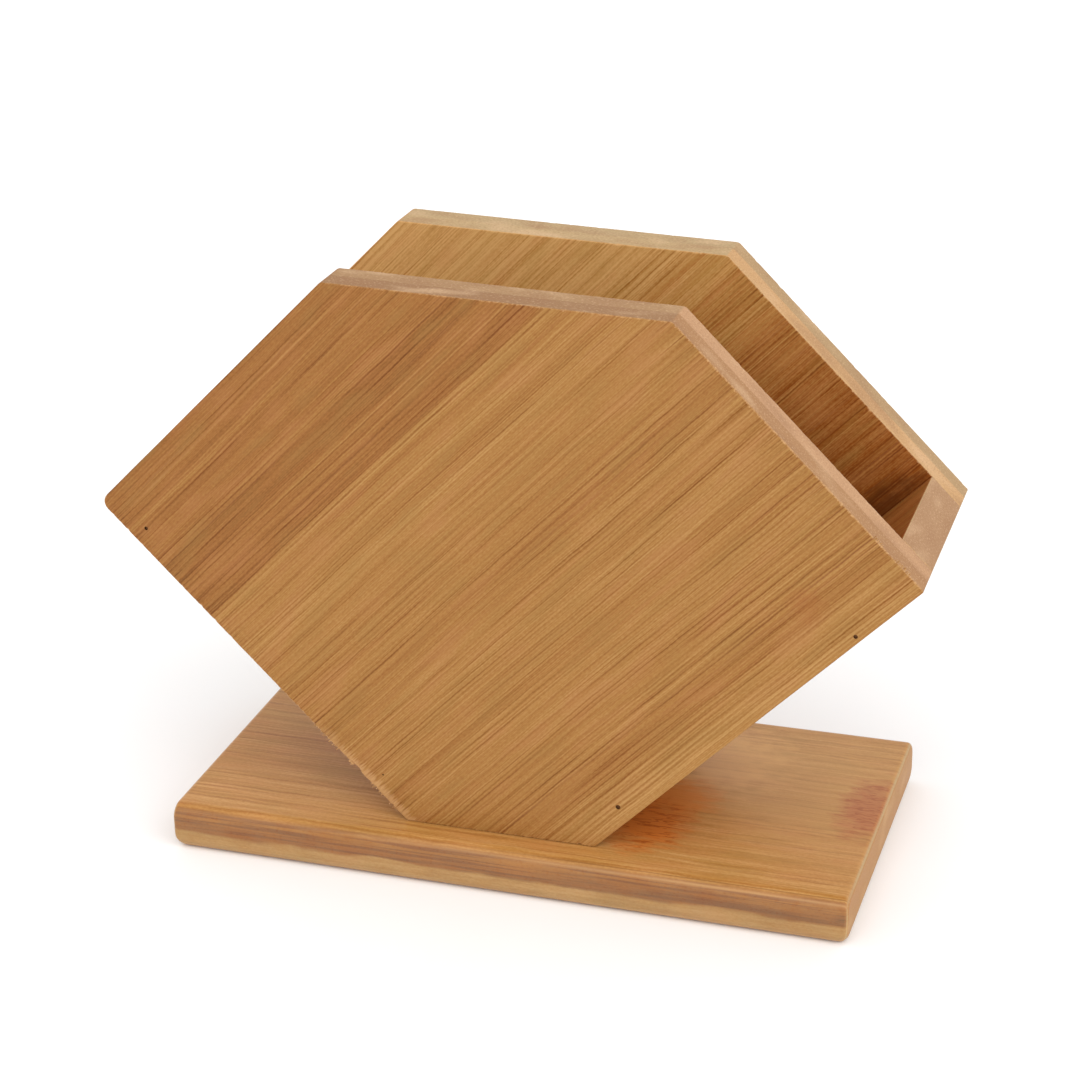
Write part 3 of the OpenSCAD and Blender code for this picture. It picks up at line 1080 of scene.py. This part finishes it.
sharpFrom = 38  # degrees between two faces


def finishPiece(piece, slot, *nodes):
    piece.data.shade_smooth()
    piece.data.set_sharp_from_angle(angle=math.radians(sharpFrom))
    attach(piece, "root")
    if nodes:
        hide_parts(*nodes)


print("torn fibres")
fibreSizes = {
    "Spacing": 0.4 * mm,
    "Shortest": 0.4 * mm,
    "Longest": 0.95 * mm,
    "Thickness": 0.06 * mm,
    "Seed": 6,
}
fibreRoots = {
    "inset": 0.5 * mm,  # from the front panel's edge
    "depth": 0.25 * mm,
    "step": 0.002,  # share of the edge from one row to the next
    # first and last share of an edge, edge from the lower left round, rows
    "rows": [(0.6, 0.97, 0, 1), (0.81, 0.86, 0, 5), (0.05, 0.2, 3, 2)],
}


def fibreTree():
    tree, add, given = newTree("torn_fibres", fibreSizes, Seed="Int")
    edges = add("GeometryNodeMeshToCurve", {"Mesh": given["Geometry"]})
    edges = add("GeometryNodeResampleCurve", {
        "Curve": edges, "Length": given["Spacing"],
    }, mode="LENGTH")

    # One fibre: a thin bent hair along Z that tapers to a point
    hair = add("GeometryNodeCurvePrimitiveLine")
    hair = add("GeometryNodeResampleCurve", {"Curve": hair, "Count": 6})
    share = add("GeometryNodeSplineParameter").outputs["Factor"]
    bend = add("ShaderNodeMath", {0: share, 1: 2.0}, operation="POWER")
    bend = add("ShaderNodeMath", {0: bend, 1: 3.0}, operation="MULTIPLY")
    hair = add("GeometryNodeSetPosition", {
        "Geometry": hair, "Offset": add("ShaderNodeCombineXYZ", {0: bend}),
    })
    hair = add("GeometryNodeCurveToMesh", {
        "Curve": hair,
        "Profile Curve": add("GeometryNodeCurvePrimitiveCircle", {"Resolution": 5, "Radius": 1.0}),
        "Scale": add("ShaderNodeMapRange", {"Value": share, "To Min": 1.0, "To Max": 0.15}),
        "Fill Caps": True,
    })

    # They lie along the grain, away from the middle of the panel, and lean a little every way
    here = add("GeometryNodeInputPosition")
    along = add("ShaderNodeVectorMath", {0: here, 1: (1.0, 0.0, 1.0)}, operation="DOT_PRODUCT")
    side = add("ShaderNodeMath", {0: along.outputs["Value"], 1: 0.08}, operation="SUBTRACT")
    side = add("ShaderNodeMath", {0: side}, operation="SIGN")
    way = add("ShaderNodeVectorMath", {0: (1.0, 0.0, 1.0), "Scale": side}, operation="SCALE")
    lean = add("FunctionNodeRandomValue", {
        0: (-0.45, -0.4, -0.45), 1: (0.45, 0.1, 0.45), "Seed": given["Seed"],
    }, data_type="FLOAT_VECTOR")
    turn = add("FunctionNodeAlignRotationToVector", {
        "Vector": add("ShaderNodeVectorMath", {0: way, 1: lean}),
    }, axis="Z")
    long = add("FunctionNodeRandomValue", {
        2: given["Shortest"], 3: given["Longest"], "Seed": given["Seed"],
    }, data_type="FLOAT")
    thick = given["Thickness"]
    patchy = add("ShaderNodeTexNoise", {"Vector": here, "Scale": 170.0, "Detail": 1.0})
    placed = add("GeometryNodeInstanceOnPoints", {
        "Points": edges,
        "Selection": add("ShaderNodeMath", {0: patchy, 1: 0.5}, operation="GREATER_THAN"),
        "Instance": hair,
        "Rotation": turn,
        "Scale": add("ShaderNodeCombineXYZ", {0: thick, 1: thick, 2: long}),
    })
    real = add("GeometryNodeRealizeInstances", {"Geometry": placed})
    pale = add("GeometryNodeStoreNamedAttribute", {
        "Geometry": real, "Name": "arris", "Value": 1.0,
    }, data_type="FLOAT", domain="POINT")
    endTree(add, given, pale)
    return tree


def fibreLines(roots):  # lines just inside the face's borders, where the fibres are rooted
    corners = outlineOf("front_panel")
    points, edges = [], []
    for start, end, i, rows in roots["rows"]:
        first, last = corners[i], corners[(i + 1) % len(corners)]
        way = (last - first).normalized()
        inset = Vector((-way.y, way.x)) * roots["inset"]
        for k in range(rows):
            edges.append((len(points), len(points) + 1))
            for share in (start, end):
                flat = first.lerp(last, share + k * roots["step"]) + inset
                points.append((flat.x, frontFace + roots["depth"], flat.y))
    return points, edges


tornValues = dict(fibreSizes, Material=frontBamboo)
tornFibres = runTree(fibreTree(), "torn_fibres", tornValues, *fibreLines(fibreRoots))
finishPiece(tornFibres, "bamboo_panel")

brads = bradTree()
for name, node, level, inward in (
    ("front_face_brads", "front_brads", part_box("front_brads")[0].y, 1),
    ("back_face_brads", "back_brads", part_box("back_brads")[1].y, -1),
):
    places = [(x, level, z) for x, z in fixingPlaces(node, (0, 2))]
    values = dict(bradSizes, Turn=(-inward * math.pi / 2, 0, 0), Material=bradSteel)
    finishPiece(runTree(brads, name, values, places), "brad_steel", node)
places = [(x, y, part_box("base_screws")[0].z) for x, y in fixingPlaces("base_screws", (0, 1))]
values = dict(screwSizes, Material=screwSteel)
finishPiece(runTree(screwTree(), "countersunk_screws", values, places), "screw_steel", "base_screws")

finishPiece(frontPanel, "bamboo_panel", "front_panel")
finishPiece(backPanel, "bamboo_panel", "back_panel")
finishPiece(rightStrip, "bamboo_strip", "right_strip")
finishPiece(leftStrip, "bamboo_strip", "left_strip")
finishPiece(floorStrip, "bamboo_strip", "floor_strip")
finishPiece(basePlate, "bamboo_base", "base_plate")

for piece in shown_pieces():
    triangles = sum(len(polygon.vertices) - 2 for polygon in piece.data.polygons)
    print("piece", piece.name, triangles, "triangles")
